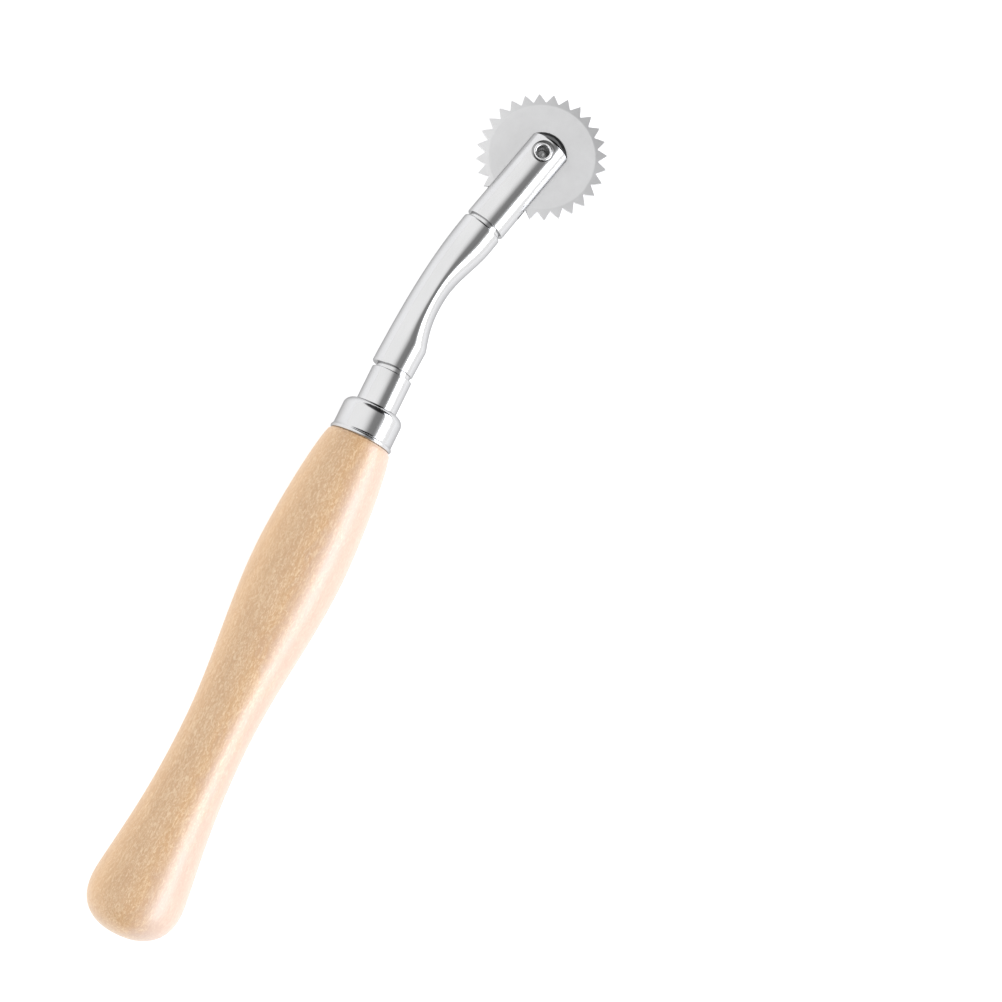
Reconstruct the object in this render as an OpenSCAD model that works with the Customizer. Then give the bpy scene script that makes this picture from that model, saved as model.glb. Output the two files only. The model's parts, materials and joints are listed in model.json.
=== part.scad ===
// Tracing wheel: a toothed disc in a slotted round head, on a bent tube arm and a turned wooden handle.
// The tool is drawn along X from the handle's end, with the wheel's axle along Z, and is then laid down
// on the table as it lies at rest: on the handle's belly, the rivet's domed head and the wheel's edge.

/* [Handle] */
// Length of the wood that shows behind the ferrule
handle_len = 99.2; // [85:0.1:115]
// Diameter of the round end
butt_d = 17.65; // [15:0.05:20]
// Distance from the end to its widest ring
butt_at = 8.3; // [7:0.1:10]
// Diameter of the waist
waist_d = 12.6; // [11.5:0.1:14]
// Distance from the end to the waist
waist_at = 38.7; // [32:0.1:44]
// Diameter of the belly
belly_d = 17.4; // [15:0.1:20]
// Distance from the end to the belly
belly_at = 74.5; // [68:0.1:80]
// Diameter of the wood where it meets the ferrule
neck_d = 12.1; // [11.6:0.1:13]

/* [Ferrule and stem] */
// Outer diameter of the ferrule
ferrule_d = 11.75; // [11:0.05:13]
// Length of the ferrule
ferrule_len = 6.9; // [5:0.1:10]
// Wall of the ferrule
ferrule_wall = 0.5; // [0.4:0.05:0.8]
// Radius of the ferrule's front shoulder
ferrule_shoulder = 1.7; // [1:0.1:2.2]
// Diameter of the stub that comes out of the ferrule
stub_d = 8.0; // [7:0.05:9]
// Length of the stub in front of the ferrule
stub_len = 7.0; // [5:0.1:10]
// Diameter of the ringed tang inside the handle
tang_d = 4.5; // [3.5:0.1:5.5]
// Length of the tang
tang_len = 42; // [25:1:60]

/* [Arm] */
// Outer diameter of the arm at its two ends
arm_d = 8.15; // [7.5:0.05:9]
// Wall of the tube
arm_wall = 1.0; // [0.7:0.05:1.2]
// Angle that the arm turns the head through
bend_angle = 13.8; // [11:0.1:15]
// Angle at which the arm's back already leans where it leaves the stem
arm_lean = 2.2; // [0:0.1:3]
// How far the bend throws the arm's lower end towards its back
arm_offset = 0.4; // [0:0.05:0.5]
// Depth of the pinch on the inside of the bend
pinch_depth = 1.9; // [0.5:0.1:2.4]
// Distance from the arm's lower end to the deepest part of the pinch
pinch_at = 17; // [15:0.5:18]
// Length of the spigots pressed into the arm
spigot_len = 5.4; // [4:0.1:6]

/* [Head] */
// Diameter of the round head
head_d = 8.2; // [7.5:0.05:9]
// Distance from the wheel's axle back to the arm
head_back = 17.9; // [17:0.1:20]
// Distance from the axle to where the domed end begins
head_front = 2.45; // [1.5:0.05:3.5]
// Height of the domed end
dome_len = 2.3; // [1:0.05:3]
// Depth of the flat round the rivet, below the top of the head
spot_depth = 0.85; // [0.6:0.05:1.1]

/* [Wheel] */
// Diameter of the wheel over its teeth
wheel_d = 24.9; // [23:0.1:26]
// Thickness of the disc
wheel_t = 1.0; // [0.8:0.05:1.2]
// Number of teeth
tooth_count = 28; // [20:1:36]
// Depth of the teeth
tooth_depth = 1.65; // [1.2:0.05:1.9]
// Thickness left at the tips of the teeth
tip_t = 0.4; // [0.2:0.05:0.6]
// Distance along the handle's line from the handle's end to the axle
axle_x = 163.3; // [155:0.1:175]
// Distance from the handle's line to the axle
axle_off = 7.4; // [6.5:0.05:8]
// Diameter of the rivet's shank
rivet_d = 2.6; // [2.2:0.1:3]
// Thickness of the washers beside the wheel
washer_t = 0.25; // [0.2:0.05:0.35]

/* [Lying pose] */
// Nose-down pitch of the tool as it lies at rest on a table
lay_pitch = 4.52; // [2:0.01:6]
// Roll about the handle's line as it lies at rest, with the inside of the bend turned up
lay_roll = -18.35; // [-25:0.1:25]

/* [Hidden] */

fit_gap = 0.02;
run_gap = 0.04;
over = 1; // how far a cutter runs past the face that it cuts
edge_break = 0.2;
handle_steps = 14;
round_fn = 96;
fine_fn = 180;

// ---- handle outline: from the round end over waist and belly to the ferrule ----
butt_r = butt_d / 2;
waist_r = waist_d / 2;
belly_r = belly_d / 2;
neck_r = neck_d / 2;
butt_full = 2.5;
butt_soft = 2.3;
grip_ease = 0.63;
shoulder_from = 1.5;
shoulder_fall = 0.685;

// The round end is a superellipse, drawn from the middle of the end to the widest ring.
function butt_curve() = [
    for (i = [0 : handle_steps])
        let (a = 90 * i / handle_steps)
        [butt_at * (1 - pow(cos(a), 2 / butt_full)), butt_r * pow(sin(a), 2 / butt_soft)]
];

// The wood falls fast behind the end and then eases into the waist.
function grip_curve() = [
    for (i = [1 : handle_steps])
        let (u = i / handle_steps)
        [butt_at + (waist_at - butt_at) * u,
         waist_r + (butt_r - waist_r) * (1 + cos(180 * pow(u, grip_ease))) / 2]
];

function belly_curve() = [
    for (i = [1 : handle_steps])
        let (u = i / handle_steps)
        [waist_at + (belly_at - waist_at) * u,
         waist_r + (belly_r - waist_r) * (1 - cos(180 * u)) / 2]
];

// The front of the belly falls like a shoulder that gets steeper up to the ferrule.
function shoulder_curve() = [
    for (i = [1 : handle_steps])
        let (u = sin(90 * i / handle_steps))
        [belly_at + (handle_len - belly_at) * u,
         neck_r + (belly_r - neck_r) * pow(1 - pow(u, shoulder_from), shoulder_fall)]
];

handle_side = concat(butt_curve(), grip_curve(), belly_curve(), shoulder_curve());

// ---- places along the handle's line ----
ferrule_r = ferrule_d / 2;
ferrule_in = ferrule_r - ferrule_wall;
ferrule_front = handle_len + ferrule_len;
wood_spigot_r = ferrule_in - fit_gap;
wood_front = ferrule_front - ferrule_wall;
stub_r = stub_d / 2;
stub_front = ferrule_front + stub_len;
lip_r = ferrule_wall - fit_gap;
lip_sink = 0.2;
mouth_round = 0.3;
collar_len = 0.8;
collar_r = stub_r - 0.6;
arm_base = stub_front + collar_len;
tang_r = tang_d / 2;
tang_back = wood_front - tang_len;
tang_tip_len = 1.2;
tang_tip_r = tang_r - 0.8;
tang_plain = 4; // smooth length at each end of the tang
tang_groove = 0.25;
tang_pitch = 3;
hole_spare = 2; // depth of the handle's hole behind the tang

// ---- the arm's back line: a slight lean, then a bend that tightens towards the head ----
arm_r = arm_d / 2;
bore_r = 2.9;
spigot_r = bore_r - fit_gap;
axle = [axle_x, -axle_off];
head_dir = [cos(bend_angle), -sin(bend_angle)];
head_side = [sin(bend_angle), cos(bend_angle)];
arm_top = axle - head_back * head_dir;
back_y = arm_offset + arm_r;
back_end = arm_top + arm_r * head_side;
arm_len = back_end[0] - arm_base;
lean_slope = tan(arm_lean);
bend_fall = back_y - back_end[1] - lean_slope * arm_len;
bend_power = arm_len * (tan(bend_angle) - lean_slope) / bend_fall;
square_len = 3;
arm_break = 0.35;
bore_spare = 0.4; // depth of each bore beyond its spigot

pinch_below = 11.0;
pinch_above = 13.7;
pinch_flatten = 0.12;
pinch_back = 0.04;

// The arm's rings stand square to its back, and square to the stem and the head at the two ends.
function arm_turn(s) =
    min(1, s / square_len)
    * atan(lean_slope + bend_power * bend_fall / arm_len * pow(s / arm_len, bend_power - 1));

function arm_back(s) =
    [arm_base + s, back_y - lean_slope * s - bend_fall * pow(s / arm_len, bend_power)];

// The pinch starts with a corner on the handle's side and fades out towards the head.
function pinch(s) =
    s < pinch_at
    ? pow(max(0, 1 - pow((pinch_at - s) / pinch_below, 2.4)), 1.15)
    : pow(cos(90 * min(1, (s - pinch_at) / pinch_above)), 2);

// One ring of the arm, pressed in on its inner side; inset shrinks it, as at an edge or inside the tube.
function arm_ring(s, inset, sides) =
    let (
        a = arm_turn(s),
        side = [sin(a), cos(a)],
        depth = pinch_depth * pinch(s),
        outer = arm_r - pinch_back * depth,
        inner = arm_r - (1 - pinch_back) * depth,
        tall = arm_r - pinch_flatten * depth,
        mid = arm_back(s) - outer * side
    )
    [for (i = [0 : sides - 1])
        let (
            t = 360 * i / sides,
            wide = cos(t) > 0 ? outer : inner,
            p = mid + (wide - inset) * cos(t) * side
        )
        [p[0], p[1], (tall - inset) * sin(t)]];

// The arm's two end edges are broken with a small round.
function arm_inset(d) =
    d > arm_break ? 0 : arm_break - sqrt(max(0, pow(arm_break, 2) - pow(arm_break - d, 2)));

module arm_sweep(stations, insets, sides) {
    rings = len(stations);
    points = [for (k = [0 : rings - 1]) each arm_ring(stations[k], insets[k], sides)];
    skin = [
        for (k = [0 : rings - 2])
            for (i = [0 : sides - 1])
                let (j = (i + 1) % sides)
                [k * sides + i, (k + 1) * sides + i, (k + 1) * sides + j, k * sides + j]
    ];
    near_cap = [for (i = [0 : sides - 1]) i];
    far_cap = [for (i = [sides - 1 : -1 : 0]) (rings - 1) * sides + i];
    polyhedron(points,
               concat([near_cap], skin, [far_cap]));
}

// ---- head, rivet and wheel, measured from the axle ----
head_r = head_d / 2;
slot_w = wheel_t + 2 * washer_t + 2 * run_gap;
wheel_r = wheel_d / 2;
slot_clear = 0.6;
slot_r = wheel_r + slot_clear;
cap_r = (pow(head_r, 2) + pow(dome_len, 2)) / (2 * dome_len);
cap_mid = head_front + dome_len - cap_r;
cap_turn = asin(head_r / cap_r);
cap_steps = 10;
spot_z = head_r - spot_depth;
near_spot_r = 2.15;
far_spot_r = 2.55;
rivet_r = rivet_d / 2;
rim_r = 1.82;
rim_h = 0.62;
rim_root_r = rim_r - 0.12;
mouth_r = 1.22;
hollow_r = 0.95;
hollow_depth = 2.6;
hollow_tip = 0.5; // depth of the drill point at the bottom of the hollow
mouth_depth = 0.15;
factory_r = 2.4;
factory_h = 1.0;
sleeve_wall = 0.42;
sleeve_in = rivet_r + fit_gap;
sleeve_r = sleeve_in + sleeve_wall;
wheel_bore = sleeve_r + run_gap;
washer_r = 3.1;
root_r = wheel_r - tooth_depth;
bevel_r = root_r - 0.65;
tip_flat = 0.06;
root_flat = 0.1;
flank_steps = 5;
tooth_phase = 1.4;
flank_power = 0.88;
bevel_out = wheel_r + 1;
head_neck_len = 0.75;
head_neck_r = head_r - 0.65;
head_back_end = -head_back - spigot_len;

// ---- how the tool lies on the table ----
lay_height = max([for (q = handle_side) q[0] * sin(lay_pitch) + q[1] * cos(lay_pitch)]);
lay_mid_x = (axle_x + wheel_r) * cos(lay_pitch) / 2;
lay_mid_y = (butt_r - (axle_off + wheel_r) * cos(lay_roll)) / 2;

module lay()
    translate([-lay_mid_x, -lay_mid_y, lay_height])
        rotate([lay_roll, lay_pitch, 0])
            children();

// Turns a shape drawn up Z so that it runs along the handle's line.
module along_handle()
    rotate([0, 90, 0])
        children();

// Puts a shape drawn up Z on the head's line, with Z = 0 at the axle.
module along_head()
    translate([axle[0], axle[1], 0])
        rotate([0, 0, -bend_angle])
            rotate([0, 90, 0])
                children();

module at_axle()
    translate([axle[0], axle[1], 0])
        children();

// A ring of rectangular section, drawn up Z.
module ring(r_in, r_out, h, from = 0)
    translate([0, 0, from])
        rotate_extrude($fn = round_fn)
            translate([r_in, 0])
                square([r_out - r_in, h]);

module wooden_handle() color("burlywood") lay() along_handle() difference() {
    union() {
        rotate_extrude($fn = round_fn)
            polygon([
                for (q = handle_side) [q[1], q[0]],
                [0, handle_len]
            ]);
        translate([0, 0, handle_len - over])
            cylinder(h = wood_front - handle_len + over, r = wood_spigot_r, $fn = round_fn);
    }
    translate([0, 0, tang_back - hole_spare])
        cylinder(h = tang_len + hole_spare + over, r = tang_r + fit_gap, $fn = round_fn);
}

// Drawn cup: rounded front shoulder, rolled rear lip, hole for the stub.
module ferrule() color("silver") lay() along_handle() translate([0, 0, handle_len]) difference() {
    union() {
        rotate_extrude($fn = round_fn) {
            square([ferrule_r, ferrule_len - ferrule_shoulder]);
            square([ferrule_r - ferrule_shoulder, ferrule_len]);
            translate([ferrule_r - ferrule_shoulder, ferrule_len - ferrule_shoulder])
                circle(r = ferrule_shoulder, $fn = 64);
        }
        translate([0, 0, ferrule_wall])
            rotate_extrude($fn = round_fn)
                translate([ferrule_r - lip_sink, 0])
                    circle(r = lip_r, $fn = 32);
    }
    translate([0, 0, -over])
        cylinder(h = ferrule_len - ferrule_wall + over, r = ferrule_in, $fn = round_fn);
    cylinder(h = ferrule_len + over, r = stub_r + fit_gap, $fn = round_fn);
    translate([0, 0, ferrule_len - mouth_round])
        rotate_extrude($fn = round_fn)
            difference() {
                square([stub_r + fit_gap + mouth_round, mouth_round + over]);
                translate([stub_r + fit_gap + mouth_round, 0])
                    circle(r = mouth_round, $fn = 32);
            }
}

// Turned from one bar: ringed tang, stub, collar and the spigot in the arm.
module stem() color("silver") lay() along_handle() difference() {
    rotate_extrude($fn = round_fn)
        polygon([
            [0, tang_back],
            [tang_tip_r, tang_back],
            [tang_r, tang_back + tang_tip_len],
            [tang_r, wood_front],
            [stub_r, wood_front],
            [stub_r, stub_front - edge_break],
            [stub_r - edge_break, stub_front],
            [collar_r, stub_front],
            [collar_r, arm_base],
            [spigot_r, arm_base],
            [spigot_r, arm_base + spigot_len - edge_break],
            [spigot_r - edge_break, arm_base + spigot_len],
            [0, arm_base + spigot_len]
        ]);
    for (z = [tang_back + tang_plain : tang_pitch : wood_front - tang_plain])
        translate([0, 0, z])
            rotate_extrude($fn = round_fn)
                polygon([
                    [tang_r - tang_groove, 0],
                    [tang_r + over, 0],
                    [tang_r + over, tang_groove * 4],
                    [tang_r, tang_groove * 4]
                ]);
}

module bent_arm() color("silver") lay() difference() {
    steps = 40;
    outer = concat([0, arm_break / 3, arm_break], [for (i = [1 : steps - 1]) arm_len * i / steps],
                   [arm_len - arm_break, arm_len - arm_break / 3, arm_len]);
    outer_inset = [for (s = outer) arm_inset(min(s, arm_len - s))];
    arm_sweep(outer, outer_inset, 48);
    inner_from = spigot_len + bore_spare / 4;
    inner_to = arm_len - inner_from;
    inner_steps = 24;
    inner = [for (i = [0 : inner_steps]) inner_from + (inner_to - inner_from) * i / inner_steps];
    arm_sweep(inner, [for (s = inner) arm_wall], 32);
    translate([arm_base - over, 0, 0])
        along_handle()
            cylinder(h = over + spigot_len + bore_spare, r = bore_r, $fn = round_fn);
    along_head()
        translate([0, 0, head_back_end - bore_spare])
            cylinder(h = over + spigot_len + bore_spare, r = bore_r, $fn = round_fn);
}

// Round bar with a domed end, slotted for the wheel, with a flat round each end of the rivet.
module fork_head() color("silver") lay() difference() {
    along_head()
        rotate_extrude($fn = round_fn)
            polygon([
                [0, head_back_end],
                [spigot_r - edge_break, head_back_end],
                [spigot_r, head_back_end + edge_break],
                [spigot_r, -head_back],
                [head_neck_r, -head_back],
                [head_neck_r, head_neck_len - head_back],
                [head_r - edge_break, head_neck_len - head_back],
                [head_r, head_neck_len - head_back + edge_break],
                for (i = [0 : cap_steps])
                    let (a = cap_turn * (1 - i / cap_steps))
                    [cap_r * sin(a), cap_mid + cap_r * cos(a)]
            ]);
    at_axle() {
        translate([0, 0, -slot_w / 2])
            cylinder(h = slot_w, r = slot_r, $fn = fine_fn);
        translate([0, 0, -head_r - over])
            cylinder(h = 2 * (head_r + over), r = rivet_r + fit_gap, $fn = round_fn);
        translate([0, 0, spot_z])
            cylinder(h = head_r, r = near_spot_r, $fn = round_fn);
        translate([0, 0, -spot_z - head_r])
            cylinder(h = head_r, r = far_spot_r, $fn = round_fn);
    }
}

// One tooth, tip up: a sharp point with slightly hollow flanks and a narrow flat at each root.
function tooth(i) =
    let (
        pitch = 360 / tooth_count,
        mid = tooth_phase + i * pitch,
        tip_a = asin(tip_flat / wheel_r),
        root_a = pitch / 2 - asin(root_flat / root_r)
    )
    [for (k = [-flank_steps : flank_steps])
        let (
            u = abs(k) / flank_steps,
            r = wheel_r - tooth_depth * pow(u, flank_power),
            a = mid + sign(k) * (tip_a + (root_a - tip_a) * u)
        )
        r * [cos(a), sin(a)]];

module tracing_wheel() color("gainsboro") lay() at_axle() difference() {
    intersection() {
        translate([0, 0, -wheel_t])
            linear_extrude(height = 2 * wheel_t)
                polygon([for (i = [0 : tooth_count - 1]) each tooth(i)]);
        rotate_extrude($fn = fine_fn)
            polygon([
                [0, -wheel_t / 2],
                [bevel_r, -wheel_t / 2],
                [bevel_out, -tip_t / 2],
                [bevel_out, tip_t / 2],
                [bevel_r, wheel_t / 2],
                [0, wheel_t / 2]
            ]);
    }
    translate([0, 0, -wheel_t])
        cylinder(h = 2 * wheel_t, r = wheel_bore, $fn = round_fn);
}

// Semi-tubular rivet: domed head below, hollow end rolled out over the near flat, with a flared mouth.
module axle_rivet() color("silver") lay() at_axle() {
    roll_r = (rim_r - mouth_r) / 2;
    hollow_floor = spot_z + rim_h - hollow_depth;
    rotate_extrude($fn = round_fn)
        polygon([
            [0, -spot_z - factory_h],
            for (a = [7.5 : 7.5 : 90]) [factory_r * sin(a), -spot_z - factory_h * cos(a)],
            [rivet_r, -spot_z],
            [rivet_r, spot_z],
            [rim_root_r, spot_z],
            for (a = [-40 : 20 : 180])
                [rim_r - roll_r + roll_r * cos(a), spot_z + rim_h / 2 + rim_h / 2 * sin(a)],
            [hollow_r, spot_z - mouth_depth],
            [hollow_r, hollow_floor],
            [0, hollow_floor - hollow_tip]
        ]);
}

module axle_sleeve() color("goldenrod") lay() at_axle()
    ring(sleeve_in, sleeve_r, slot_w, -slot_w / 2);

module near_washer() color("gold") lay() at_axle()
    ring(sleeve_r + fit_gap, washer_r, washer_t, slot_w / 2 - washer_t);

module far_washer() color("gold") lay() at_axle()
    ring(sleeve_r + fit_gap, washer_r, washer_t, -slot_w / 2);

wooden_handle();
ferrule();
stem();
bent_arm();
fork_head();
tracing_wheel();
axle_rivet();
axle_sleeve();
near_washer();
far_washer();
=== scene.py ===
"""The looks of a tracing wheel: turned beech handle, chromed stem, arm and slotted head, toothed wheel.

Every piece is drawn in the tool's own frame, in millimetres: X runs along the handle from its round end,
+Y is the back of the bend and Z is the wheel's axle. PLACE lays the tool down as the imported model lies.
"""

import json
from math import asin, atan, cos, degrees, pi, radians, sin, tan

import bmesh
import bpy
from mathutils import Matrix, Vector


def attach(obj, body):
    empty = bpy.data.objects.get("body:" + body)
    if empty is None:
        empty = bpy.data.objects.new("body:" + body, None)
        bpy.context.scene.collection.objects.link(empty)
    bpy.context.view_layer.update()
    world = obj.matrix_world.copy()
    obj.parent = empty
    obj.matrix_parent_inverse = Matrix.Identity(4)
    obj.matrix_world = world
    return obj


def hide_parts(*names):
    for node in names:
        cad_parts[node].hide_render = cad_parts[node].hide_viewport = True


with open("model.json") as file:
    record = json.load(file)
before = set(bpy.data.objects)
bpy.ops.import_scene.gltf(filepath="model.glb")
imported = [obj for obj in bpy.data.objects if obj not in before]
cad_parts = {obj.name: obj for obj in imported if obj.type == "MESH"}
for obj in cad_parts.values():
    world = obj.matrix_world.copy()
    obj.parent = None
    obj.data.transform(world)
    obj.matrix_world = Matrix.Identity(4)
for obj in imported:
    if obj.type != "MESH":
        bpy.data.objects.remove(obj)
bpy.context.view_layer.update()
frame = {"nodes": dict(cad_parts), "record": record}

MM = 0.001
TURN = 2 * pi

# ---- sizes, as in the CAD source (mm) ----
HANDLE_LEN = 99.2
BUTT_R, BUTT_AT = 8.825, 8.3
WAIST_R, WAIST_AT = 6.3, 38.7
BELLY_R, BELLY_AT = 8.7, 74.5
NECK_R = 6.05
BUTT_FULL, BUTT_SOFT = 2.5, 2.3
GRIP_EASE = 0.63
SHOULDER_FROM, SHOULDER_FALL = 1.5, 0.685
HOLE_SPARE = 2.0
FERRULE_R, FERRULE_LEN, FERRULE_WALL, FERRULE_ROUND = 5.875, 6.9, 0.5, 1.7
LIP_R, LIP_SINK, MOUTH_ROUND = 0.48, 0.2, 0.3
STUB_R, STUB_LEN = 4.0, 7.0
TANG_R, TANG_LEN, TANG_PITCH, TANG_GROOVE = 2.25, 42.0, 3.0, 0.25
TANG_TIP_R, TANG_TIP_LEN, TANG_PLAIN = 1.45, 1.2, 4.0
COLLAR_R, COLLAR_LEN = 3.4, 0.8
FIT_GAP, RUN_GAP = 0.02, 0.04
EDGE, ARM_EDGE = 0.2, 0.35
ARM_R, ARM_WALL, ARM_OFFSET = 4.075, 1.0, 0.4
BEND, ARM_LEAN, SQUARE_LEN = radians(13.8), radians(2.2), 3.0
PINCH_DEPTH, PINCH_AT, PINCH_BELOW, PINCH_ABOVE = 1.9, 17.0, 11.0, 13.7
PINCH_FLATTEN, PINCH_BACK = 0.12, 0.04
PINCH_FULL, PINCH_SOFT = 2.4, 1.15
SPIGOT_LEN, BORE_R, BORE_SPARE = 5.4, 2.9, 0.4
HEAD_R, HEAD_BACK, HEAD_FRONT, DOME_LEN = 4.1, 17.9, 2.45, 2.3
NECK_LEN, HEAD_NECK_R = 0.75, 3.45
SPOT_DEPTH, NEAR_SPOT_R, FAR_SPOT_R = 0.85, 2.15, 2.55
AXLE = Vector((163.3, -7.4, 0))
WHEEL_R, WHEEL_T, TOOTH_COUNT, TOOTH_DEPTH, TIP_T = 12.45, 1.0, 28, 1.65, 0.4
TOOTH_PHASE = radians(1.4)
TIP_FLAT, ROOT_FLAT, FLANK_STEPS, FLANK_POWER = 0.06, 0.1, 5, 0.88
SLOT_CLEAR, BEVEL_IN, BEVEL_PAST = 0.6, 0.65, 1.0
RIVET_R, RIM_R, RIM_H, MOUTH_R, HOLLOW_R, HOLLOW_DEPTH = 1.3, 1.82, 0.62, 1.22, 0.95, 2.6
HOLLOW_TIP, MOUTH_DEPTH = 0.5, 0.15
FACTORY_R, FACTORY_H = 2.4, 1.0
WASHER_T, SLEEVE_WALL = 0.25, 0.42
OVER = 1.0  # how far a cutter runs past the face that it cuts

FERRULE_FRONT = HANDLE_LEN + FERRULE_LEN
FERRULE_IN = FERRULE_R - FERRULE_WALL
WOOD_SPIGOT_R = FERRULE_IN - FIT_GAP
WOOD_FRONT = FERRULE_FRONT - FERRULE_WALL
TANG_END = WOOD_FRONT - TANG_LEN
STUB_FRONT = FERRULE_FRONT + STUB_LEN
ARM_BASE = STUB_FRONT + COLLAR_LEN
SPIGOT_R = BORE_R - FIT_GAP
SLOT_W = WHEEL_T + 2 * WASHER_T + 2 * RUN_GAP
SLOT_R = WHEEL_R + SLOT_CLEAR
CAP_R = (HEAD_R ** 2 + DOME_LEN ** 2) / (2 * DOME_LEN)
CAP_MID = HEAD_FRONT + DOME_LEN - CAP_R
SPOT_Z = HEAD_R - SPOT_DEPTH
WHEEL_BORE = RIVET_R + FIT_GAP + SLEEVE_WALL + RUN_GAP
ROOT_R = WHEEL_R - TOOTH_DEPTH
BEVEL_R = ROOT_R - BEVEL_IN
BEVEL_OUT = WHEEL_R + BEVEL_PAST

# ---- sizes that only the looks have (mm) ----
HEAD_CORNER = 0.14  # round of the head's front shoulder
RIM_FOOT = 0.14  # how far the rolled rim's foot is set in
HOLLOW_EDGE = 0.15  # chamfer at the bottom of the rivet's hollow
WHEEL_EDGE = 0.05  # edge break on the wheel

X, Y, Z = Vector((1, 0, 0)), Vector((0, 1, 0)), Vector((0, 0, 1))
HEAD_DIR = Vector((cos(BEND), -sin(BEND), 0))
HEAD_SIDE = Vector((sin(BEND), cos(BEND), 0))

# ---- mesh fineness, and the angles in degrees above which an edge is crisp ----
LATHE_SIDES, ARM_SIDES, RIVET_SIDES, HEAD_SIDES = 160, 128, 128, 192
OUTLINE_STEPS, ARM_STEPS, TUBE_STEPS, CAP_STEPS = 26, 84, 30, 24
SHARP, RIVET_SHARP, WHEEL_SHARP = 32, 50, 25


def lay_matrix():
    """From the tool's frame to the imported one: the hinge gives Z and the axle, the grip gives X."""
    record = frame["record"]
    joint = record["behaviour"]["joints"][0]
    grip = next(m for m in record["mounts"] if m["name"] == "hand_grip")
    z = Vector(joint["axis"]).normalized()
    y = z.cross(-Vector(grip["axis"])).normalized()
    x = y.cross(z)
    turn = Matrix((x, y, z)).transposed()
    origin = Vector(joint["pos_m"]) - turn @ (AXLE * MM)
    return Matrix.Translation(origin) @ turn.to_4x4()


PLACE = lay_matrix()
LAY = PLACE @ Matrix.Scale(MM, 4)


# ---- mesh tools ----
def arc(centre, radius, start, end, steps):
    """Points (along, out) on an arc, angles in degrees from the along direction."""
    return [
        (centre[0] + radius * cos(radians(start + (end - start) * i / steps)),
         centre[1] + radius * sin(radians(start + (end - start) * i / steps)))
        for i in range(steps + 1)
    ]


def mesh_object(name, bm, sharp=SHARP, laid=True):
    """Turns a bmesh in tool millimetres into an object, laid down, with smooth sides and crisp edges."""
    bmesh.ops.recalc_face_normals(bm, faces=bm.faces)
    for face in bm.faces:
        face.smooth = True
    mesh = bpy.data.meshes.new(name)
    bm.to_mesh(mesh)
    bm.free()
    if laid:
        mesh.transform(LAY)
    mesh.set_sharp_from_angle(angle=radians(sharp))
    obj = bpy.data.objects.new(name, mesh)
    bpy.context.scene.collection.objects.link(obj)
    return obj


def circle(centre, first, second, radius, sides):
    """A ring of points about centre, from the direction first towards the direction second."""
    return [
        centre + (first * cos(TURN * i / sides) + second * sin(TURN * i / sides)) * radius
        for i in range(sides)
    ]


def loft(rings, closed):
    """Skins a list of rings; a ring of one point is a pole, and closed joins the last ring to the first."""
    bm = bmesh.new()
    made = [[bm.verts.new(p) for p in ring] for ring in rings]
    pairs = list(zip(made, made[1:]))
    if closed:
        pairs.append((made[-1], made[0]))
    for low, high in pairs:
        count = max(len(low), len(high))
        for i in range(count):
            j = (i + 1) % count
            corners = [low[i % len(low)], low[j % len(low)], high[j % len(high)], high[i % len(high)]]
            bm.faces.new(list(dict.fromkeys(corners)))
    return bm


def lathe(profile, origin, axis, side, sides):
    """Turns a profile of (along, radius) about an axis, from pole to pole or round a closed loop."""
    other = axis.cross(side)
    rings = [
        circle(origin + axis * along, side, other, radius, sides if radius > 0 else 1)
        for along, radius in profile
    ]
    return loft(rings, closed=len(rings[0]) > 1)


def along_handle(name, profile):
    """Turns a profile about the handle's line."""
    return mesh_object(name, lathe(profile, Vector((0, 0, 0)), X, Y, LATHE_SIDES))


# ---- handle ----
def handle_outline():
    """(along, radius) from the round end, which is a superellipse, over waist and belly to the ferrule."""
    steps = OUTLINE_STEPS
    pts = []
    for i in range(steps + 1):
        a = pi / 2 * i / steps
        pts.append((BUTT_AT * (1 - max(cos(a), 0) ** (2 / BUTT_FULL)), BUTT_R * sin(a) ** (2 / BUTT_SOFT)))
    for i in range(1, steps + 1):
        u = i / steps
        fall = (1 + cos(pi * u ** GRIP_EASE)) / 2
        pts.append((BUTT_AT + (WAIST_AT - BUTT_AT) * u, WAIST_R + (BUTT_R - WAIST_R) * fall))
    for i in range(1, steps + 1):
        u = i / steps
        rise = (1 - cos(pi * u)) / 2
        pts.append((WAIST_AT + (BELLY_AT - WAIST_AT) * u, WAIST_R + (BELLY_R - WAIST_R) * rise))
    for i in range(1, steps):
        u = sin(pi / 2 * i / steps)
        left = (1 - u ** SHOULDER_FROM) ** SHOULDER_FALL
        pts.append((BELLY_AT + (HANDLE_LEN - BELLY_AT) * u, NECK_R + (BELLY_R - NECK_R) * left))
    return pts


def make_handle():
    hole, hole_end = TANG_R + FIT_GAP, TANG_END - HOLE_SPARE
    profile = [p for p in handle_outline() if p[0] < HANDLE_LEN - EDGE]
    profile += arc((HANDLE_LEN - EDGE, NECK_R - EDGE), EDGE, 90, 0, 4)
    profile += [
        (HANDLE_LEN, WOOD_SPIGOT_R), (WOOD_FRONT, WOOD_SPIGOT_R), (WOOD_FRONT, hole),
        (hole_end, hole), (hole_end, 0),
    ]
    return along_handle("turned_handle", profile)


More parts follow.
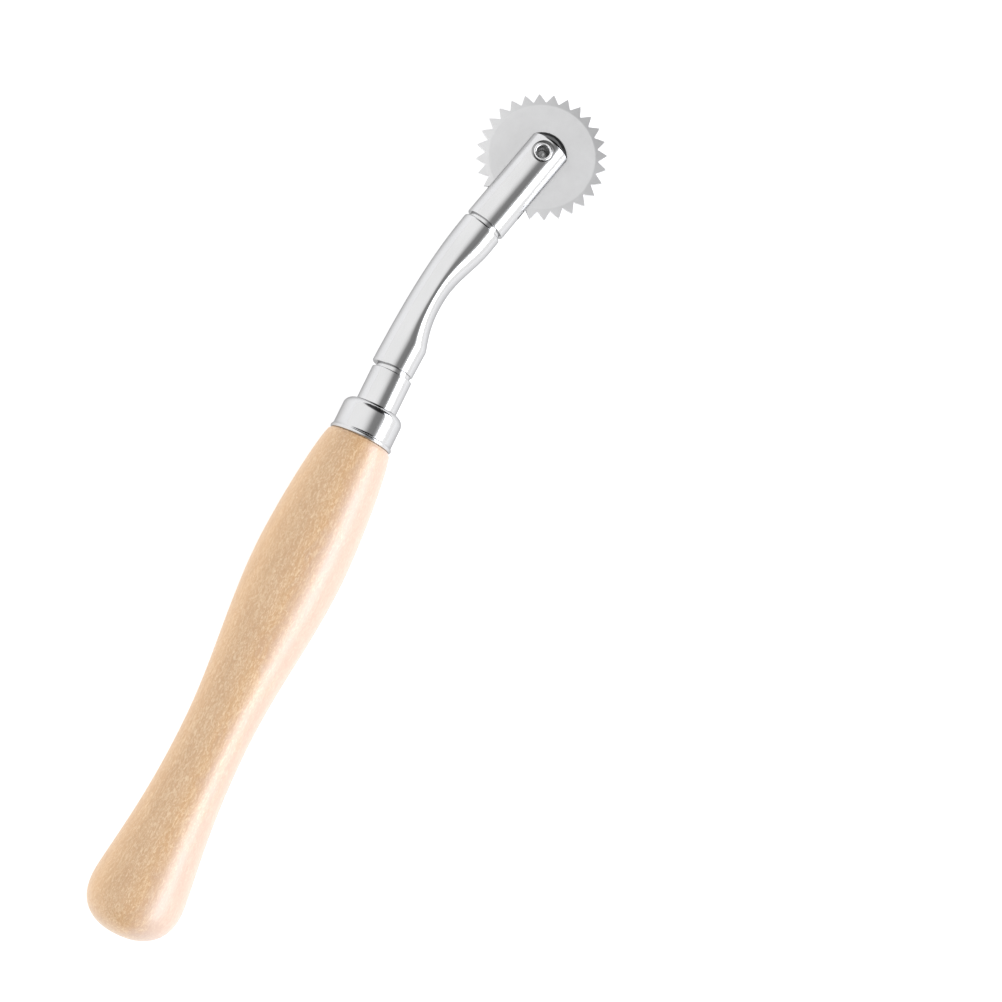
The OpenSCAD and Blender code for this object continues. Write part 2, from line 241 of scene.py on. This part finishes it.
# ---- ferrule and stem ----
def make_ferrule():
    """A drawn cup: rolled rear lip, rounded front shoulder, and a small round at the mouth of its hole."""
    lip_at = (HANDLE_LEN + FERRULE_WALL, FERRULE_R - LIP_SINK)
    lip_foot = lip_at[0] + LIP_R
    lip_start, lip_end = 218, degrees(asin(LIP_SINK / LIP_R)) + 12
    round_at = (FERRULE_FRONT - FERRULE_ROUND, FERRULE_R - FERRULE_ROUND)
    hole = STUB_R + FIT_GAP
    inside = FERRULE_FRONT - FERRULE_WALL
    profile = arc(lip_at, LIP_R, lip_start, lip_end, 16)
    # The lip's round stops short of the side, and two points run it out into a fillet.
    profile += [(lip_foot + 0.12, FERRULE_R + 0.02), (lip_foot + 0.3, FERRULE_R)]
    profile += arc(round_at, FERRULE_ROUND, 90, 12, 13)
    profile += arc((FERRULE_FRONT - MOUTH_ROUND, hole + MOUTH_ROUND), MOUTH_ROUND, 0, -90, 6)
    profile += [(inside, hole), (inside, FERRULE_IN), (HANDLE_LEN + EDGE, FERRULE_IN)]
    return along_handle("drawn_ferrule", profile)


def tang_outline():
    """The ringed tang: grooves with one steep side, between two plain ends."""
    pts = [(TANG_END, 0), (TANG_END, TANG_TIP_R), (TANG_END + TANG_TIP_LEN, TANG_R)]
    at = TANG_END + TANG_PLAIN
    while at < WOOD_FRONT - TANG_PLAIN:
        pts += [(at, TANG_R), (at, TANG_R - TANG_GROOVE), (at + 4 * TANG_GROOVE, TANG_R)]
        at += TANG_PITCH
    return pts + [(WOOD_FRONT, TANG_R)]


def make_stem():
    """Turned from one bar: ringed tang, stub, collar, and the spigot in the arm."""
    spigot_end = ARM_BASE + SPIGOT_LEN
    profile = tang_outline() + [(WOOD_FRONT, STUB_R)]
    profile += arc((STUB_FRONT - EDGE, STUB_R - EDGE), EDGE, 90, 0, 4)
    profile += [(STUB_FRONT, COLLAR_R), (ARM_BASE, COLLAR_R), (ARM_BASE, SPIGOT_R)]
    profile += arc((spigot_end - EDGE, SPIGOT_R - EDGE), EDGE, 90, 0, 3) + [(spigot_end, 0)]
    return along_handle("ringed_stem", profile)


# ---- bent arm: s is the distance along the handle's line from its lower end ----
ARM_TOP = AXLE - HEAD_DIR * HEAD_BACK
BACK_Y = ARM_OFFSET + ARM_R
BACK_END = ARM_TOP + HEAD_SIDE * ARM_R
ARM_LEN = BACK_END.x - ARM_BASE
LEAN = tan(ARM_LEAN)
BEND_FALL = BACK_Y - BACK_END.y - LEAN * ARM_LEN
BEND_POWER = ARM_LEN * (tan(BEND) - LEAN) / BEND_FALL


def arm_turn(s):
    """The rings stand square to the arm's back, and square to the stem at the lower end."""
    slope = LEAN + BEND_POWER * BEND_FALL / ARM_LEN * (s / ARM_LEN) ** (BEND_POWER - 1)
    return min(1, s / SQUARE_LEN) * atan(slope)


def pinch(s):
    """The pinch starts with a corner on the handle's side and fades out towards the head."""
    if s < PINCH_AT:
        return max(0, 1 - ((PINCH_AT - s) / PINCH_BELOW) ** PINCH_FULL) ** PINCH_SOFT
    return cos(pi / 2 * min(1, (s - PINCH_AT) / PINCH_ABOVE)) ** 2


def arm_ring(s, inset):
    """One ring of the arm, pressed in on its inner side; inset shrinks it, at an edge or in the tube."""
    turn = arm_turn(s)
    side = Vector((sin(turn), cos(turn), 0))
    depth = PINCH_DEPTH * pinch(s)
    outer, inner = ARM_R - PINCH_BACK * depth, ARM_R - (1 - PINCH_BACK) * depth
    tall = ARM_R - PINCH_FLATTEN * depth
    back = Vector((ARM_BASE + s, BACK_Y - LEAN * s - BEND_FALL * (s / ARM_LEN) ** BEND_POWER, 0))
    middle = back - side * outer
    ring = []
    for i in range(ARM_SIDES):
        a = TURN * i / ARM_SIDES
        wide = outer if cos(a) > 0 else inner
        ring.append(middle + side * ((wide - inset) * cos(a)) + Z * ((tall - inset) * sin(a)))
    return ring


def bore_ring(centre, side):
    return circle(centre, side, Z, BORE_R, ARM_SIDES)


def make_arm():
    """One closed skin: outside up to the head, in through the upper bore, down the tube, out at the stem."""
    edge = arc((ARM_EDGE, ARM_EDGE), -ARM_EDGE, 0, 90, 5)
    low = SPIGOT_LEN + BORE_SPARE
    tube_len = ARM_LEN - 2 * low
    rings = [arm_ring(s, inset) for s, inset in edge]
    rings += [arm_ring(ARM_LEN * i / ARM_STEPS, 0) for i in range(2, ARM_STEPS - 1)]
    rings += [arm_ring(ARM_LEN - s, inset) for s, inset in edge[::-1]]
    rings += [bore_ring(ARM_TOP, HEAD_SIDE), bore_ring(ARM_TOP - HEAD_DIR * SPIGOT_LEN, HEAD_SIDE)]
    rings += [arm_ring(low + tube_len * i / TUBE_STEPS, ARM_WALL) for i in range(TUBE_STEPS, -1, -1)]
    rings += [bore_ring(X * (ARM_BASE + SPIGOT_LEN), Y), bore_ring(X * ARM_BASE, Y)]
    return mesh_object("pinched_arm", loft(rings, closed=True))


# ---- head ----
def head_bar():
    """The uncut head: spigot, neck, round bar, and a spherical cap behind a crisp shoulder."""
    back = -HEAD_BACK
    neck_end = back + NECK_LEN
    spigot_end = back - SPIGOT_LEN
    turn = asin(HEAD_R / CAP_R) - HEAD_CORNER / CAP_R
    # The shoulder's round stops 8 degrees short of the cap's own slope, which leaves a fine line there.
    shoulder_at, shoulder_end = (HEAD_FRONT - HEAD_CORNER / 2, HEAD_R - HEAD_CORNER), degrees(turn) + 8
    profile = [(spigot_end, 0)] + arc((spigot_end + EDGE, SPIGOT_R - EDGE), EDGE, 180, 90, 3)
    profile += [(back, SPIGOT_R), (back, HEAD_NECK_R), (neck_end, HEAD_NECK_R)]
    profile += arc((neck_end + EDGE, HEAD_R - EDGE), EDGE, 180, 90, 4)
    profile += arc(shoulder_at, HEAD_CORNER, 90, shoulder_end, 4)
    profile += arc((CAP_MID, 0), CAP_R, degrees(turn), 0, CAP_STEPS)[:-1] + [(CAP_MID + CAP_R, 0)]
    return lathe(profile, AXLE, HEAD_DIR, HEAD_SIDE, HEAD_SIDES)


def head_cutter():
    """What is cut away about the axle, in one turned shape: spot faces, rivet hole and the wheel's slot."""
    end, slot, hole = HEAD_R + OVER, SLOT_W / 2, RIVET_R + FIT_GAP
    profile = [
        (-end, 0), (-end, FAR_SPOT_R), (-SPOT_Z, FAR_SPOT_R), (-SPOT_Z, hole), (-slot, hole),
        (-slot, SLOT_R), (slot, SLOT_R),
        (slot, hole), (SPOT_Z, hole), (SPOT_Z, NEAR_SPOT_R), (end, NEAR_SPOT_R), (end, 0),
    ]
    return lathe(profile, AXLE, Z, X, HEAD_SIDES)


def apply_modifiers(obj):
    """Gives an object the mesh that its modifiers make, and drops them."""
    depsgraph = bpy.context.evaluated_depsgraph_get()
    mesh = bpy.data.meshes.new_from_object(obj.evaluated_get(depsgraph))
    obj.modifiers.clear()
    obj.data = mesh


def make_head():
    """The cut is made in millimetres, before the head is laid down: in metres it leaves open edges."""
    head = mesh_object("slotted_head", head_bar(), laid=False)
    cutter = mesh_object("cutter", head_cutter(), laid=False)
    cut = head.modifiers.new("cut", "BOOLEAN")
    cut.operation = "DIFFERENCE"
    cut.solver = "EXACT"
    cut.object = cutter
    apply_modifiers(head)
    bpy.data.objects.remove(cutter)
    head.data.transform(LAY)
    head.data.set_sharp_from_angle(angle=radians(SHARP))
    return head


# ---- rivet ----
def make_rivet():
    """Domed factory head below, plain shank, and above it the rolled rim round a drilled hollow."""
    dome_steps, roll_steps = 14, 22
    roll_from, roll_sweep = radians(-44), radians(220)
    roll_mid, roll_w = (RIM_R + MOUTH_R) / 2, (RIM_R - MOUTH_R) / 2
    roll_z, roll_h = SPOT_Z + RIM_H / 2, RIM_H / 2
    floor_z = SPOT_Z + RIM_H - HOLLOW_DEPTH
    profile = [(-SPOT_Z - FACTORY_H, 0)]
    for i in range(1, dome_steps + 1):
        a = pi / 2 * i / dome_steps
        profile.append((-SPOT_Z - FACTORY_H * cos(a), FACTORY_R * sin(a)))
    profile += [(-SPOT_Z, RIVET_R), (SPOT_Z, RIVET_R), (SPOT_Z, RIM_R - RIM_FOOT)]
    for i in range(roll_steps + 1):
        a = roll_from + roll_sweep * i / roll_steps
        profile.append((roll_z + roll_h * sin(a), roll_mid + roll_w * cos(a)))
    profile += [(SPOT_Z - MOUTH_DEPTH, HOLLOW_R), (floor_z + HOLLOW_EDGE, HOLLOW_R)]
    profile += [(floor_z, HOLLOW_R - HOLLOW_EDGE), (floor_z - HOLLOW_TIP, 0)]
    return mesh_object("rolled_rivet", lathe(profile, AXLE, Z, X, RIVET_SIDES), sharp=RIVET_SHARP)


# ---- wheel ----
def tooth_outline():
    """(angle, radius) round the rim: sharp tips, slightly hollow flanks, a narrow flat at each root."""
    pitch = TURN / TOOTH_COUNT
    tip = asin(TIP_FLAT / WHEEL_R)
    root = pitch / 2 - asin(ROOT_FLAT / ROOT_R)
    pts = []
    for tooth in range(TOOTH_COUNT):
        middle = TOOTH_PHASE + tooth * pitch
        for k in range(-FLANK_STEPS, FLANK_STEPS + 1):
            u = abs(k) / FLANK_STEPS
            side = (k > 0) - (k < 0)
            pts.append((middle + side * (tip + (root - tip) * u), WHEEL_R - TOOTH_DEPTH * u ** FLANK_POWER))
    return pts


def half_thickness(radius):
    """The disc thins from the bevel line out to the tips."""
    u = max(0, (radius - BEVEL_R) / (BEVEL_OUT - BEVEL_R))
    return WHEEL_T / 2 + (TIP_T - WHEEL_T) / 2 * u


def make_wheel():
    """Rings of points over one face, round the teeth and back over the other face."""
    rim = tooth_outline()
    tips = [r for _, r in rim]
    # (radius, drop below the face) inside the teeth; three close rings hold the bevel's line crisp.
    plan = [(WHEEL_BORE, WHEEL_EDGE), (WHEEL_BORE + WHEEL_EDGE, 0)] + [(r, 0) for r in (2.6, 4.0, 6.0, 8.0)]
    plan += [(BEVEL_R - 0.12, 0), (BEVEL_R, 0), (BEVEL_R + 0.12, 0), (ROOT_R - 0.2, 0)]

    def ring(radii, inset, drop, sign):
        return [
            AXLE + Vector(((r - inset) * cos(a), (r - inset) * sin(a), sign * (half_thickness(r) - drop)))
            for (a, _), r in zip(rim, radii)
        ]

    def face(sign):
        rings = [ring([radius] * len(rim), 0, drop, sign) for radius, drop in plan]
        return rings + [ring(tips, WHEEL_EDGE, 0, sign), ring(tips, 0, WHEEL_EDGE, sign)]

    return mesh_object("toothed_wheel", loft(face(1) + face(-1)[::-1], closed=True), sharp=WHEEL_SHARP)


# ---- material tools ----
UPRIGHT = PLACE.inverted()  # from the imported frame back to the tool's, in metres


class Nodes:
    """A short way to write a node tree: each call adds one node and returns the socket that matters."""

    def __init__(self, owner, shader="Principled BSDF"):
        owner.use_nodes = True
        self.owner = owner
        self.tree = owner.node_tree
        self.shader = self.tree.nodes[shader]

    def node(self, kind, inputs=(), **settings):
        made = self.tree.nodes.new(kind)
        for key, value in settings.items():
            setattr(made, key, value)
        for key, value in dict(inputs).items():
            self.plug(made.inputs[key], value)
        return made

    def plug(self, socket, value):
        if isinstance(value, bpy.types.NodeSocket):
            self.tree.links.new(value, socket)
        else:
            socket.default_value = value

    def point(self, scale=(1, 1, 1), turn=(0, 0, 0), shift=(0, 0, 0)):
        """The place on the piece, in millimetres of the tool's frame, stretched by scale."""
        laid = self.node("ShaderNodeTexCoord").outputs["Object"]
        upright = self.node("ShaderNodeMapping", {
            "Vector": laid, "Rotation": UPRIGHT.to_euler(), "Location": UPRIGHT.translation,
        }).outputs["Vector"]
        return self.node("ShaderNodeMapping", {
            "Vector": upright, "Scale": tuple(s / MM for s in scale), "Rotation": turn, "Location": shift,
        }).outputs["Vector"]

    def noise(self, vector, detail, rough=0.5, twist=0.0):
        return self.node("ShaderNodeTexNoise", {
            "Vector": vector, "Scale": 1.0, "Detail": detail, "Roughness": rough, "Distortion": twist,
        }).outputs["Fac"]

    def math(self, kind, a, b=0.0):
        return self.node("ShaderNodeMath", {0: a, 1: b}, operation=kind).outputs[0]

    def split(self, vector):
        outputs = self.node("ShaderNodeSeparateXYZ", {"Vector": vector}).outputs
        return outputs["X"], outputs["Y"], outputs["Z"]

    def length(self, a, b):
        """The length of a flat vector, from its two parts."""
        flat = self.node("ShaderNodeCombineXYZ", {"X": a, "Y": b}).outputs[0]
        return self.node("ShaderNodeVectorMath", {0: flat}, operation="LENGTH").outputs["Value"]

    def dot(self, vector, axis):
        made = self.node("ShaderNodeVectorMath", {0: vector, 1: axis}, operation="DOT_PRODUCT")
        return made.outputs["Value"]

    def fit(self, value, low, high, to_low=0.0, to_high=1.0, kind="LINEAR"):
        return self.node("ShaderNodeMapRange", {
            "Value": value, "From Min": low, "From Max": high, "To Min": to_low, "To Max": to_high,
        }, interpolation_type=kind).outputs["Result"]

    def mix(self, fac, a, b):
        made = self.node("ShaderNodeMix", data_type="RGBA")
        for key, value in (("Factor", fac), (6, a), (7, b)):
            self.plug(made.inputs[key], value)
        return made.outputs[2]

    def ramp(self, value, stops):
        made = self.node("ShaderNodeValToRGB", {"Fac": value})
        ramp = made.color_ramp
        while len(ramp.elements) < len(stops):
            ramp.elements.new(0.5)
        for element, (at, colour) in zip(ramp.elements, stops):
            element.position = at
            element.color = colour
        return made.outputs["Color"]

    def bump(self, height, distance, strength=1.0, normal=None):
        """A bump of a height in millimetres, laid over another one where normal is given."""
        inputs = {"Height": height, "Distance": distance * MM, "Strength": strength}
        if normal is not None:
            inputs["Normal"] = normal
        return self.node("ShaderNodeBump", inputs).outputs["Normal"]

    def polar(self):
        """Distance from the axle, angle round it and height along it, for marks that run round it."""
        x, y, z = self.split(self.point(shift=(-AXLE.x, -AXLE.y, 0)))
        return self.length(x, y), self.math("ARCTAN2", y, x), z

    def swirl(self, outward, around):
        """A noise coordinate that runs round the axle, and how fast it changes outward and around."""
        far, angle, _ = self.polar()
        return self.node("ShaderNodeCombineXYZ", {
            "X": self.math("MULTIPLY", far, outward), "Y": self.math("MULTIPLY", angle, around),
        }).outputs[0]

    def set(self, **values):
        """Sets or links the shader's own sockets, and returns the material or world."""
        for key, value in values.items():
            self.plug(self.shader.inputs[key.replace("_", " ")], value)
        return self.owner


def new_material(name):
    return Nodes(bpy.data.materials.new(name))


# ---- materials ----
BEECH_TONE = (1.05, 1.03, 0.92)
# The pale pinkish colour of the painted highlight along the inside of the bend.
PAINTED_HIGHLIGHT_TONE = (0.635, 0.48, 0.43, 1)
# How the rings lie: the tree's middle from the handle's (mm), radians per mm outward, and their wander.
RING_PITH, RING_RATE, RING_WARP = (0, 17.0, 11.0), 2.1, 14.0
# Brightness of the plate, and how much of it is left in its hazy patches.
PLATE_LEVEL, PLATE_HAZE = 0.67, 0.95
# Tint of grazing reflections on the plate, which keeps its outline darker than the pale background.
RIM_TINT = (0.5, 0.5, 0.5, 1)


def grey(level):
    """A neutral grey, with the touch of blue that the photo's metal has."""
    return (level, level, level * 1.005, 1)


def beech(*colour):
    """A wood colour, brought to the tone that the photo has."""
    return (*(c * t for c, t in zip(colour, BEECH_TONE)), 1)


def beech_rings(n):
    """Growth rings about a pith outside the handle, wandering slowly along it; 0 to 1."""
    warp = n.noise(n.point((0.03, 0.09, 0.09)), 2.0)
    _, y, z = n.split(n.point((0.012, 1.0, 1.0), shift=RING_PITH))
    steady, wander = n.math("MULTIPLY", n.length(y, z), RING_RATE), n.math("MULTIPLY", warp, RING_WARP)
    return n.fit(n.math("SINE", n.math("ADD", steady, wander)), -1.0, 1.0)


def beech_flecks(n):
    """Short ray flecks, from the cells of a stretched Voronoi pattern; 0 to 1."""
    cells = n.node("ShaderNodeTexVoronoi", {
        "Vector": n.point((0.8, 2.6, 2.6), turn=(0.1, 0.05, 0.1)), "Scale": 1.0, "Randomness": 1.0,
    })
    return n.fit(cells.outputs["Distance"], 0.1, 0.34, 1.0, 0.0)


def wood_material():
    """Beech: faint growth rings, ray flecks, a mottled figure and fine fibres under satin lacquer."""
    n = new_material("lacquered_beech")
    figure = n.noise(n.point((0.16, 0.42, 0.42), turn=(0.3, 0.1, 0.2)), 4.0, 0.6, 0.7)
    mottle = n.noise(n.point((1.2, 3.2, 3.2), turn=(0, 0.3, 0.35)), 4.0, 0.66, 1.1)
    fibre = n.noise(n.point((0.11, 2.4, 2.4)), 4.0, 0.62)
    base = n.ramp(figure, [
        (0.34, beech(0.64, 0.39, 0.21)), (0.45, beech(0.715, 0.468, 0.272)),
        (0.56, beech(0.757, 0.515, 0.318)), (0.68, beech(0.8, 0.57, 0.375)),
    ])
    base = n.mix(n.fit(beech_rings(n), 0.0, 1.0, 0.0, 0.2), base, beech(0.66, 0.41, 0.23))
    base = n.mix(n.fit(mottle, 0.4, 0.56, 0.85, 0.0), base, beech(0.64, 0.365, 0.19))
    base = n.mix(n.fit(mottle, 0.5, 0.64, 0.0, 0.72), base, beech(0.9, 0.69, 0.5))
    base = n.mix(n.math("MULTIPLY", beech_flecks(n), 0.34), base, beech(0.58, 0.33, 0.17))
    base = n.mix(n.fit(fibre, 0.38, 0.56, 0.34, 0.0), base, beech(0.6, 0.37, 0.2))

    # A pale pinkish band is painted along the inside of the bend as a painted highlight, and a deeper golden
    # band along the back as painted shade, their edges wandering.
    _, across, _ = n.split(n.point())
    wander = n.math("MULTIPLY", n.math("ADD", figure, -0.5), 6.0)
    side = n.math("ADD", across, wander)
    base = n.mix(n.fit(side, -1.0, -5.5, 0.0, 0.6), base, PAINTED_HIGHLIGHT_TONE)
    base = n.mix(n.fit(side, 1.5, 7.5, 0.0, 0.45), base, beech(0.76, 0.45, 0.2))

    height = n.math("ADD", n.math("MULTIPLY", fibre, 0.6), n.math("MULTIPLY", mottle, 0.5))
    return n.set(
        Base_Color=base, Roughness=n.fit(mottle, 0.3, 0.7, 0.5, 0.4), Normal=n.bump(height, 0.035, 0.5),
        Coat_Normal=n.bump(n.noise(n.point((0.2, 0.5, 0.5)), 3.0), 0.05, 0.5),
        Coat_Weight=1.0, Coat_Roughness=0.37, Coat_IOR=1.8, Specular_IOR_Level=0.3,
    )


def chrome_material(name, lines, rough=0.13, marks=None):
    """Bright plate: turning lines (stretched by lines), slow waves, hairline wear, and any painted shade
    given in marks.
    """
    n = new_material(name)
    turned = n.noise(n.point(lines), 2.0, 0.6)
    wave = n.noise(n.point((0.25, 0.25, 0.25)), 2.0)
    hair = n.noise(n.point((0.5, 5.0, 5.0), turn=(0.2, 0.5, 0.4)), 4.0, 0.7)
    haze = n.noise(n.point((0.12, 0.3, 0.3)), 3.0)
    colour = n.mix(n.fit(haze, 0.3, 0.7), grey(PLATE_LEVEL), grey(PLATE_LEVEL * PLATE_HAZE))
    if marks:
        colour = marks(n, colour)
    clouds = n.fit(haze, 0.25, 0.75, rough - 0.03, rough + 0.05)
    wear = n.fit(hair, 0.55, 0.8, 0.0, 0.08)
    normal = n.bump(wave, 0.03, 0.6, n.bump(turned, 0.0012, 1.0, n.bump(hair, 0.0015, 1.0)))
    return n.set(
        Base_Color=colour, Metallic=1.0, Roughness=n.math("ADD", clouds, wear), Normal=normal,
        Specular_Tint=RIM_TINT,
    )


def head_painted_shade(n, colour):
    """Painted shade in the recess round the rivet, and a painted dark reflection on the head's cap."""
    painted_dark = grey(0.12)
    far, _, _ = n.polar()
    # Painted shade: the recess round the rivet is darkened halfway to a dark grey.
    recess_shade = n.fit(far, NEAR_SPOT_R + 0.02, NEAR_SPOT_R + 0.08, 0.5, 0.0)
    along = n.dot(n.point(shift=-AXLE), HEAD_DIR)
    # Painted dark reflection: the head's cap, past its shoulder, is painted dark grey.
    cap = n.fit(along, HEAD_FRONT, HEAD_FRONT + 0.12)
    return n.mix(cap, n.mix(recess_shade, colour, painted_dark), painted_dark)


def wheel_material():
    """Blanked sheet steel: fine grinding rings, a cloudy satin plate and a darker colour from the bevel line
    out over the teeth.
    """
    n = new_material("satin_wheel_steel")
    far, _, _ = n.polar()
    ground = n.noise(n.swirl(9.0, 1.6), 3.0, 0.65)
    cloud = n.noise(n.point((0.22, 0.22, 0.22)), 4.0, 0.6)
    grain = n.noise(n.point((4.0, 4.0, 4.0)), 3.0, 0.6)
    colour = n.mix(n.fit(cloud, 0.3, 0.7), grey(0.77), grey(0.85))
    colour = n.mix(n.fit(far, BEVEL_R - 0.05, BEVEL_R + 0.15, 0.0, 0.2), colour, grey(0.58))
    spread = n.math("ADD", n.fit(ground, 0.3, 0.7, 0.36, 0.46), n.fit(cloud, 0.3, 0.7, -0.03, 0.05))
    normal = n.bump(ground, 0.004, 1.0, n.bump(grain, 0.004, 1.0))
    return n.set(Base_Color=colour, Metallic=1.0, Roughness=spread, Normal=normal)


def rivet_material():
    """Plain steel, scored where the rim was rolled over, with painted shade inside the hollow."""
    n = new_material("rolled_rivet_steel")
    far, _, high = n.polar()
    scores = n.noise(n.swirl(0.8, 3.2), 3.0, 0.6)
    grain = n.noise(n.point((2.6, 2.6, 2.6)), 4.0, 0.65)
    colour = n.mix(n.fit(grain, 0.3, 0.7), grey(0.8), grey(0.72))
    # Painted shade: the hollow below the rim is mixed towards a mid grey.
    hollow_shade = n.fit(far, HOLLOW_R + 0.02, MOUTH_R, 0.95, 0.0)
    below = n.fit(high, SPOT_Z - 0.2, SPOT_Z + 0.3, 1.0, 0.0)
    colour = n.mix(n.math("MULTIPLY", hollow_shade, below), colour, grey(0.42))
    normal = n.bump(scores, 0.03, 0.8, n.bump(grain, 0.006, 1.0))
    spread = n.fit(grain, 0.3, 0.7, 0.16, 0.28)
    return n.set(Base_Color=colour, Metallic=1.0, Roughness=spread, Normal=normal)


def brass_material():
    """Turned brass with a little tarnish, for the sleeve and the washers."""
    n = new_material("plain_brass")
    turned = n.noise(n.swirl(12.0, 1.2), 2.0)
    tarnish = n.noise(n.point((0.8, 0.8, 0.8)), 4.0, 0.6)
    colour = n.mix(n.fit(tarnish, 0.35, 0.7), (0.78, 0.58, 0.27, 1), (0.6, 0.41, 0.17, 1))
    spread = n.fit(tarnish, 0.3, 0.7, 0.24, 0.38)
    return n.set(Base_Color=colour, Metallic=1.0, Roughness=spread, Normal=n.bump(turned, 0.003, 1.0))


def floor_material():
    """A pale table that glows a little, so that it stays as white as the photo's background."""
    n = new_material("pale_floor")
    grain = n.noise(n.point((0.02, 0.02, 0.02)), 2.0)
    colour = n.mix(n.fit(grain, 0.3, 0.7), grey(0.4), grey(0.41))
    return n.set(Base_Color=colour, Roughness=0.9, Specular_IOR_Level=0.1,
                 Emission_Color=grey(1.0), Emission_Strength=0.78)


# ---- camera, lights, floor ----
# The photo's view of the tool: place in mm, and directions, in the tool's frame; lens and film in mm.
CAMERA_AT = Vector((39.909, -35.083, 397.335))
CAMERA_RIGHT = Vector((0.42576, -0.90347, 0.04978))
CAMERA_UP = Vector((0.89225, 0.42835, 0.14286))
LENS, FILM_WIDTH = 77.97, 36

# The window light: degrees from straight up towards the inside of the bend, lean towards the wheel,
# the spot that it faces (m), distance (m), length and width (m), and how bright its face looks.
WINDOW_TURN, WINDOW_LEAN, WINDOW_AIM = radians(69), 0.15, Vector((0.02, 0, 0))
WINDOW_DISTANCE, WINDOW_SIZE, WINDOW_RADIANCE = 0.9, (1.5, 0.45), 4.0
COOL = (0.96, 0.985, 1.04)

# The tent's brightness by degrees from straight up towards the inside of the bend.
SKY_FROM, SKY_TO = -90, 90
SKY_STOPS = (
    (-90, 1.2), (-14, 1.2), (-2, 1.05), (9, 0.66), (18, 0.3), (41, 0.26), (48, 0.55), (57, 1.1), (90, 1.2),
)

# Its dim ends: direction in the tool's frame, cosines where dimming starts and is full, light that is left.
DIM_ENDS = (((0.9, -0.16, 0.37), 0.68, 0.85, 0.05), ((-0.95, 0.0, 0.3), 0.8, 0.96, 0.3))

FLOOR_HALF = 2.0


def add_camera():
    """The photo's camera, which goes where the tool is laid."""
    data = bpy.data.cameras.new("camera")
    data.sensor_width = FILM_WIDTH
    data.lens = LENS
    data.clip_start = 0.01
    camera = bpy.data.objects.new("camera", data)
    right = CAMERA_RIGHT.normalized()
    back = right.cross(CAMERA_UP).normalized()
    up = back.cross(right)
    turn = Matrix((right, up, back)).transposed().to_4x4()
    camera.matrix_world = PLACE @ Matrix.Translation(CAMERA_AT * MM) @ turn
    bpy.context.scene.collection.objects.link(camera)
    bpy.context.scene.camera = camera


def add_window():
    """A soft rectangular light with its long side along the tool, unseen by the camera."""
    data = bpy.data.lights.new("window", "AREA")
    data.shape = "RECTANGLE"
    data.size, data.size_y = WINDOW_SIZE
    data.energy = WINDOW_RADIANCE * WINDOW_SIZE[0] * WINDOW_SIZE[1] * pi
    data.color = COOL
    turn = PLACE.to_3x3()
    away = (turn @ Vector((WINDOW_LEAN, -sin(WINDOW_TURN), cos(WINDOW_TURN)))).normalized()
    side = away.cross((turn @ X).normalized()).normalized()
    facing = Matrix((side.cross(away), side, away)).transposed().to_4x4()
    light = bpy.data.objects.new("window", data)
    light.matrix_world = Matrix.Translation(WINDOW_AIM + away * WINDOW_DISTANCE) @ facing
    light.visible_camera = False
    bpy.context.scene.collection.objects.link(light)


def add_world():
    """A pale studio tent with a dim gap overhead and dim ends, which give the plate its dark bands."""
    world = bpy.data.worlds.new("studio")
    bpy.context.scene.world = world
    n = Nodes(world, "Background")
    place = n.node("ShaderNodeTexCoord").outputs["Generated"]
    turn = PLACE.to_3x3()
    angle = n.math("ARCTAN2", n.dot(place, -(turn @ Y)), n.dot(place, turn @ Z))
    sweep = n.fit(angle, radians(SKY_FROM), radians(SKY_TO))
    sky = n.ramp(sweep, [
        ((at - SKY_FROM) / (SKY_TO - SKY_FROM), (level, level, level, 1)) for at, level in SKY_STOPS
    ])
    strength = 1.0
    for aim, start, full, left in DIM_ENDS:
        towards = n.dot(place, (turn @ Vector(aim)).normalized())
        strength = n.math("MULTIPLY", strength, n.fit(towards, start, full, 1.0, left, "SMOOTHSTEP"))
    n.set(Color=sky, Strength=strength)


def add_floor():
    half = FLOOR_HALF
    mesh = bpy.data.meshes.new("floor")
    corners = [(-half, -half, 0), (half, -half, 0), (half, half, 0), (-half, half, 0)]
    mesh.from_pydata(corners, [], [(0, 1, 2, 3)])
    floor = bpy.data.objects.new("floor", mesh)
    mesh.materials.append(floor_material())
    bpy.context.scene.collection.objects.link(floor)


# ---- the assembly ----
def join_frame(piece, node, body, material):
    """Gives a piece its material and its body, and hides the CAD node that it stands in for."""
    piece.data.materials.clear()
    piece.data.materials.append(material)
    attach(piece, body)
    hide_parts(node)


def dress_node(name, material):
    """Puts a material on a CAD node that is shown as it is."""
    for slot in frame["nodes"][name].material_slots:
        slot.material = material


add_camera()
add_world()
add_floor()
add_window()

# How fine the plate's lines are along X, Y and Z: rings round turned pieces, and no direction on the arm.
RINGED, EVEN = (7.0, 0.4, 0.4), (1.2, 1.2, 1.2)
join_frame(make_handle(), "wooden_handle", "tool", wood_material())
join_frame(make_ferrule(), "ferrule", "tool", chrome_material("ferrule_plate", RINGED))
join_frame(make_stem(), "stem", "tool", chrome_material("stem_plate", RINGED))
join_frame(make_arm(), "bent_arm", "tool", chrome_material("arm_plate", EVEN, rough=0.1))
join_frame(
    make_head(), "fork_head", "tool", chrome_material("head_plate", RINGED, marks=head_painted_shade)
)
join_frame(make_wheel(), "tracing_wheel", "wheel", wheel_material())
join_frame(make_rivet(), "axle_rivet", "tool", rivet_material())
brass = brass_material()
for hidden in ("axle_sleeve", "near_washer", "far_washer"):
    dress_node(hidden, brass)

bpy.context.scene.view_settings.view_transform = "Standard"
